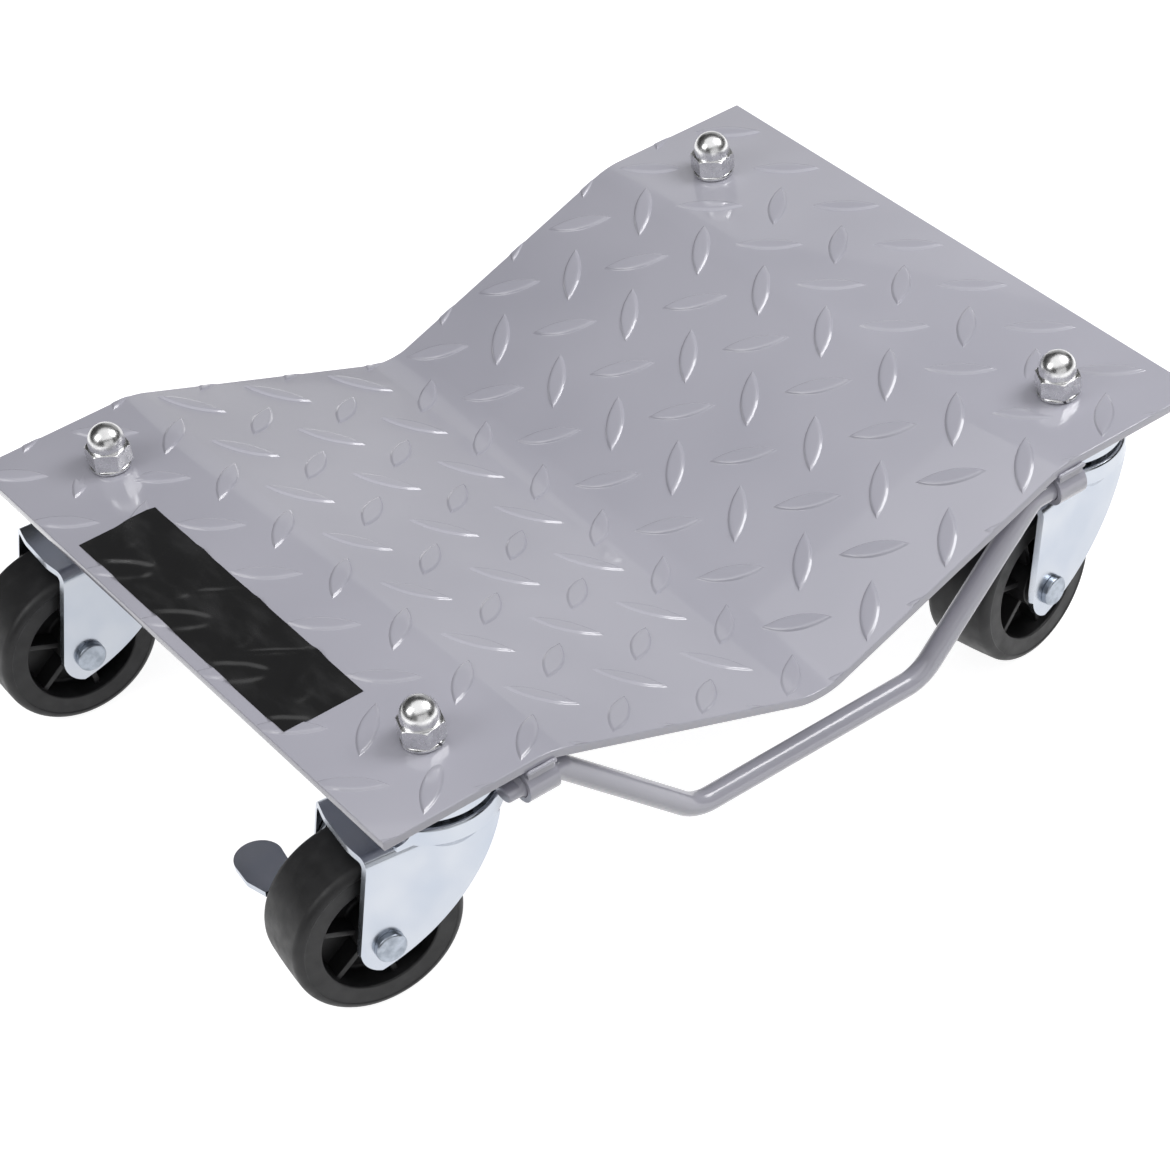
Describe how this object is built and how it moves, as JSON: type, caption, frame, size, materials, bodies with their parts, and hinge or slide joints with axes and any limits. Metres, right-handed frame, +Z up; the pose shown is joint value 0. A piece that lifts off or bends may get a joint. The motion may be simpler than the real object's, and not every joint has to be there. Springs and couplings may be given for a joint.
{
  "type": "vehicle positioning dolly",
  "caption": "Low dolly of folded grey tread plate with a tyre valley, on swivel casters, with a swinging wire bail.",
  "frame": {"origin": "on the floor, below the middle of the whole part's box", "axes": "+X along the deck's long side, -Y towards the side with the bail, +Z up"},
  "size_m": [0.4344, 0.3094, 0.1279],
  "materials": {
    "grey_paint": "gloss",
    "zinc_plate": "bright zinc plating",
    "chrome_nut": "polished",
    "bearing_steel": "greased",
    "wheel_black": "satin moulded"
  },
  "bodies": {
    "deck": {"deck_plate": "grey_paint", "bail_barrel_left": "grey_paint", "bail_barrel_right": "grey_paint", "cap_nuts": "chrome_nut", "spring_washers": "zinc_plate", "caster_stems": "zinc_plate", "upper_race_left_near": "zinc_plate", "upper_race_left_far": "zinc_plate", "upper_race_right_near": "zinc_plate", "upper_race_right_far": "zinc_plate", "lower_race_left_near": "bearing_steel", "lower_race_left_far": "bearing_steel", "lower_race_right_near": "bearing_steel", "lower_race_right_far": "bearing_steel"},
    "fork_swivel_left_near": {"fork_left_near": "zinc_plate", "upper_balls_left_near": "bearing_steel", "lower_balls_left_near": "bearing_steel", "axle_left_near": "zinc_plate", "axle_sleeve_left_near": "bearing_steel", "brake_pivot_left_near": "zinc_plate"},
    "rolling_wheel_left_near": {"wheel_left_near": "wheel_black"},
    "brake_left_near": {"brake_lever_left_near": "zinc_plate"},
    "fork_swivel_left_far": {"fork_left_far": "zinc_plate", "upper_balls_left_far": "bearing_steel", "lower_balls_left_far": "bearing_steel", "axle_left_far": "zinc_plate", "axle_sleeve_left_far": "bearing_steel"},
    "rolling_wheel_left_far": {"wheel_left_far": "wheel_black"},
    "fork_swivel_right_near": {"fork_right_near": "zinc_plate", "upper_balls_right_near": "bearing_steel", "lower_balls_right_near": "bearing_steel", "axle_right_near": "zinc_plate", "axle_sleeve_right_near": "bearing_steel"},
    "rolling_wheel_right_near": {"wheel_right_near": "wheel_black"},
    "fork_swivel_right_far": {"fork_right_far": "zinc_plate", "upper_balls_right_far": "bearing_steel", "lower_balls_right_far": "bearing_steel", "axle_right_far": "zinc_plate", "axle_sleeve_right_far": "bearing_steel", "brake_pivot_right_far": "zinc_plate"},
    "rolling_wheel_right_far": {"wheel_right_far": "wheel_black"},
    "brake_right_far": {"brake_lever_right_far": "zinc_plate"},
    "bail": {"bail_handle": "grey_paint"}
  },
  "joints": [
    {"name": "swivel_left_near", "type": "hinge", "parent": "deck", "child": "fork_swivel_left_near", "pos_m": [-0.14526, -0.11523, 0.08], "axis": [0, 0, 1], "continuous": true},
    {"name": "wheel_spin_left_near", "type": "hinge", "parent": "fork_swivel_left_near", "child": "rolling_wheel_left_near", "pos_m": [-0.17945, -0.11061, 0.0365], "axis": [-0.134, -0.991, 0], "continuous": true},
    {"name": "brake_press_left_near", "type": "hinge", "parent": "fork_swivel_left_near", "child": "brake_left_near", "pos_m": [-0.15817, -0.09129, 0.062], "axis": [-0.134, -0.991, 0], "range_deg": [0, 6]},
    {"name": "swivel_left_far", "type": "hinge", "parent": "deck", "child": "fork_swivel_left_far", "pos_m": [-0.14526, 0.11477, 0.08], "axis": [0, 0, 1], "continuous": true},
    {"name": "wheel_spin_left_far", "type": "hinge", "parent": "fork_swivel_left_far", "child": "rolling_wheel_left_far", "pos_m": [-0.17969, 0.11705, 0.0365], "axis": [-0.0663, -0.9978, 0], "continuous": true},
    {"name": "swivel_right_near", "type": "hinge", "parent": "deck", "child": "fork_swivel_right_near", "pos_m": [0.17374, -0.11523, 0.08], "axis": [0, 0, 1], "continuous": true},
    {"name": "wheel_spin_right_near", "type": "hinge", "parent": "fork_swivel_right_near", "child": "rolling_wheel_right_near", "pos_m": [0.13986, -0.12176, 0.0365], "axis": [0.1891, -0.982, 0], "continuous": true},
    {"name": "swivel_right_far", "type": "hinge", "parent": "deck", "child": "fork_swivel_right_far", "pos_m": [0.17374, 0.11477, 0.08], "axis": [0, 0, 1], "continuous": true},
    {"name": "wheel_spin_right_far", "type": "hinge", "parent": "fork_swivel_right_far", "child": "rolling_wheel_right_far", "pos_m": [0.13937, 0.11176, 0.0365], "axis": [0.0872, -0.9962, 0], "continuous": true},
    {"name": "brake_press_right_far", "type": "hinge", "parent": "fork_swivel_right_far", "child": "brake_right_far", "pos_m": [0.15588, 0.13529, 0.062], "axis": [0.0872, -0.9962, 0], "range_deg": [0, 6]},
    {"name": "bail_swing", "type": "hinge", "parent": "deck", "child": "bail", "pos_m": [0.01099, -0.14723, 0.0938], "axis": [1, 0, 0], "range_deg": [-55, 46]}
  ]
}
